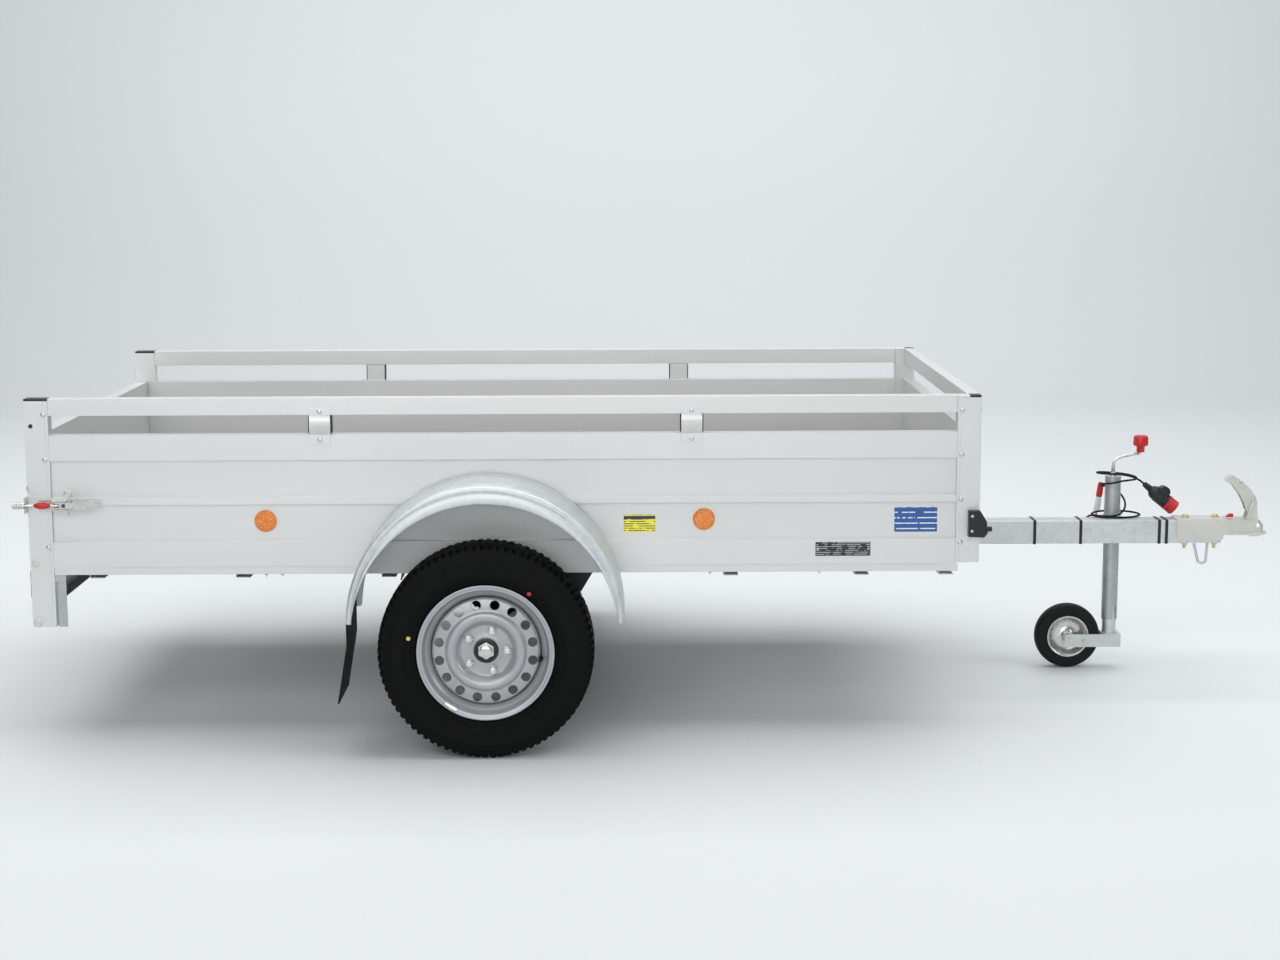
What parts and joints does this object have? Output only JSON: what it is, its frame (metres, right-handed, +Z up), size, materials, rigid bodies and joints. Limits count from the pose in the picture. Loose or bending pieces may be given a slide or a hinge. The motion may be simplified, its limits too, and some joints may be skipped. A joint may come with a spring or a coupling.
{
  "type": "box trailer",
  "caption": "Single-axle open box trailer with hollow aluminium walls, raised lashing rails, folding tailgate, mudguards, jockey wheel and ball coupling.",
  "frame": {"origin": "on the ground under the middle of the trailer's overall length and width, the tyres standing on z = 0", "axes": "+X forwards to the coupling, +Y to the trailer's left side, +Z up"},
  "size_m": [3.6106, 1.892, 0.94],
  "materials": {
    "anodised_aluminium": "satin anodised, drawn along the profile",
    "galvanised_steel": "hot-dip galvanised, faint spangle",
    "zinc_plated": "bright zinc plated",
    "yellow_zinc": "yellow chromated zinc",
    "silver_wheel": "silver paint, satin",
    "black_plastic": "moulded, satin",
    "red_plastic": "gloss",
    "orange_reflector": "prismatic",
    "plywood": "film faced",
    "tyre_rubber": "matte, moulded",
    "black_rubber": "matte",
    "grey_tyre": "matte",
    "black_paint": "satin"
  },
  "bodies": {
    "chassis": {"floor_board": "plywood", "side_walls": "anodised_aluminium", "front_wall": "anodised_aluminium", "rear_posts": "anodised_aluminium", "front_posts": "anodised_aluminium", "post_caps": "black_plastic", "side_rails": "anodised_aluminium", "front_rail": "anodised_aluminium", "rail_brackets": "anodised_aluminium", "bracket_caps": "black_plastic", "body_bolts": "zinc_plated", "sills": "galvanised_steel", "crossmembers": "galvanised_steel", "light_beam": "galvanised_steel", "rear_lamps": "red_plastic", "plate_holder": "black_plastic", "drawbar": "galvanised_steel", "axle_beam": "galvanised_steel", "axle_brackets": "black_paint", "coupling_body": "zinc_plated", "coupling_head": "zinc_plated", "coupling_bolts": "yellow_zinc", "guide_hoop": "galvanised_steel", "mudguards": "galvanised_steel", "mud_flaps": "black_rubber", "reflectors": "orange_reflector", "marker_lamps": "black_plastic", "type_plate": "black_plastic", "jockey_clamp": "galvanised_steel", "cable_straps": "black_plastic", "supply_cable": "black_rubber", "plug_body": "black_plastic", "plug_ring": "red_plastic", "latch_brackets": "zinc_plated"},
    "tailgate": {"tailgate": "anodised_aluminium", "tailgate_fittings": "zinc_plated"},
    "wheel_right": {"tyre_right": "tyre_rubber", "rim_right": "silver_wheel", "hub_right": "zinc_plated"},
    "wheel_left": {"tyre_left": "tyre_rubber", "rim_left": "silver_wheel", "hub_left": "zinc_plated"},
    "swing_right": {"swing_arm_right": "galvanised_steel"},
    "swing_left": {"swing_arm_left": "galvanised_steel"},
    "lever_right": {"latch_lever_right": "zinc_plated"},
    "lever_left": {"latch_lever_left": "zinc_plated"},
    "hook_right": {"latch_hook_right": "zinc_plated"},
    "hook_left": {"latch_hook_left": "zinc_plated"},
    "pin_right": {"latch_pin_right": "zinc_plated"},
    "pin_left": {"latch_pin_left": "zinc_plated"},
    "jockey_post": {"jockey_tube": "zinc_plated"},
    "spindle": {"jockey_spindle": "zinc_plated"},
    "leg": {"jockey_leg": "zinc_plated"},
    "crank": {"jockey_crank": "zinc_plated"},
    "knob": {"jockey_knob": "red_plastic"},
    "jockey_wheel": {"jockey_tyre": "grey_tyre", "jockey_rim": "zinc_plated"},
    "clamp_screw": {"clamp_handle": "red_plastic"},
    "handle": {"coupling_handle": "zinc_plated"},
    "jaw": {"coupling_jaw": "zinc_plated"}
  },
  "joints": [
    {"name": "suspension_right", "type": "hinge", "parent": "chassis", "child": "swing_right", "pos_m": [-0.3907, -0.753, 0.375], "axis": [0, 1, 0], "range_deg": [-12, 20], "stiffness_Nm_per_rad": 1200, "springref_deg": -4.3},
    {"name": "wheel_spin_right", "type": "hinge", "parent": "swing_right", "child": "wheel_right", "pos_m": [-0.5207, -0.868, 0.287], "axis": [0, 1, 0], "continuous": true},
    {"name": "latch_lever_right", "type": "hinge", "parent": "chassis", "child": "lever_right", "pos_m": [-1.6857, -0.722, 0.652], "axis": [0, 0, -1], "range_deg": [0, 100]},
    {"name": "latch_hook_right", "type": "hinge", "parent": "lever_right", "child": "hook_right", "pos_m": [-1.6757, -0.722, 0.652], "axis": [0, 0, -1], "range_deg": [-125, 0]},
    {"name": "latch_pin_right", "type": "slide", "parent": "lever_right", "child": "pin_right", "axis": [0, 0, 1], "range_m": [0, 0.045]},
    {"name": "suspension_left", "type": "hinge", "parent": "chassis", "child": "swing_left", "pos_m": [-0.3907, 0.753, 0.375], "axis": [0, 1, 0], "range_deg": [-12, 20], "stiffness_Nm_per_rad": 1200, "springref_deg": -4.3},
    {"name": "wheel_spin_left", "type": "hinge", "parent": "swing_left", "child": "wheel_left", "pos_m": [-0.5207, 0.868, 0.287], "axis": [0, 1, 0], "continuous": true},
    {"name": "latch_lever_left", "type": "hinge", "parent": "chassis", "child": "lever_left", "pos_m": [-1.6857, 0.722, 0.652], "axis": [0, 0, 1], "range_deg": [0, 100]},
    {"name": "latch_hook_left", "type": "hinge", "parent": "lever_left", "child": "hook_left", "pos_m": [-1.6757, 0.722, 0.652], "axis": [0, 0, 1], "range_deg": [-125, 0]},
    {"name": "latch_pin_left", "type": "slide", "parent": "lever_left", "child": "pin_left", "axis": [0, 0, 1], "range_m": [0, 0.045]},
    {"name": "tailgate_hinge", "type": "hinge", "parent": "chassis", "child": "tailgate", "pos_m": [-1.7537, 0, 0.49], "axis": [0, -1, 0], "range_deg": [0, 90]},
    {"name": "jockey_height", "type": "slide", "parent": "chassis", "child": "jockey_post", "axis": [0, 0, 1], "range_m": [0, 0.16]},
    {"name": "clamp_turn", "type": "hinge", "parent": "chassis", "child": "clamp_screw", "pos_m": [1.3133, 0.124, 0.455], "axis": [0, 1, 0], "range_deg": [-90, 90]},
    {"name": "jockey_lift", "type": "slide", "parent": "jockey_post", "child": "spindle", "axis": [0, 0, -1], "range_m": [-0.03, 0.15]},
    {"name": "crank_turn", "type": "hinge", "parent": "jockey_post", "child": "crank", "pos_m": [1.3513, 0.076, 0.659], "axis": [0, 0, 1], "range_deg": [-2800, 13600]},
    {"name": "knob_spin", "type": "hinge", "parent": "crank", "child": "knob", "pos_m": [1.4333, 0.076, 0.7], "axis": [0, 0, 1], "continuous": true},
    {"name": "jockey_swivel", "type": "hinge", "parent": "spindle", "child": "leg", "pos_m": [1.3513, 0.076, 0.33], "axis": [0, 0, 1], "continuous": true},
    {"name": "jockey_roll", "type": "hinge", "parent": "leg", "child": "jockey_wheel", "pos_m": [1.2203, 0.076, 0.1], "axis": [0, 1, 0], "continuous": true},
    {"name": "coupling_handle", "type": "hinge", "parent": "chassis", "child": "handle", "pos_m": [1.7613, 0, 0.5], "axis": [0, -1, 0], "range_deg": [0, 50]},
    {"name": "coupling_jaw", "type": "hinge", "parent": "chassis", "child": "jaw", "pos_m": [1.7193, 0, 0.462], "axis": [0, -1, 0], "range_deg": [0, 10]}
  ],
  "couplings": [
    {"joint": "latch_hook_right", "follows": "latch_lever_right", "ratio": -1.25},
    {"joint": "latch_hook_left", "follows": "latch_lever_left", "ratio": -1.25},
    {"joint": "crank_turn", "follows": "jockey_lift", "rad_per_m": 1570.8},
    {"joint": "coupling_jaw", "follows": "coupling_handle", "ratio": 0.2}
  ]
}
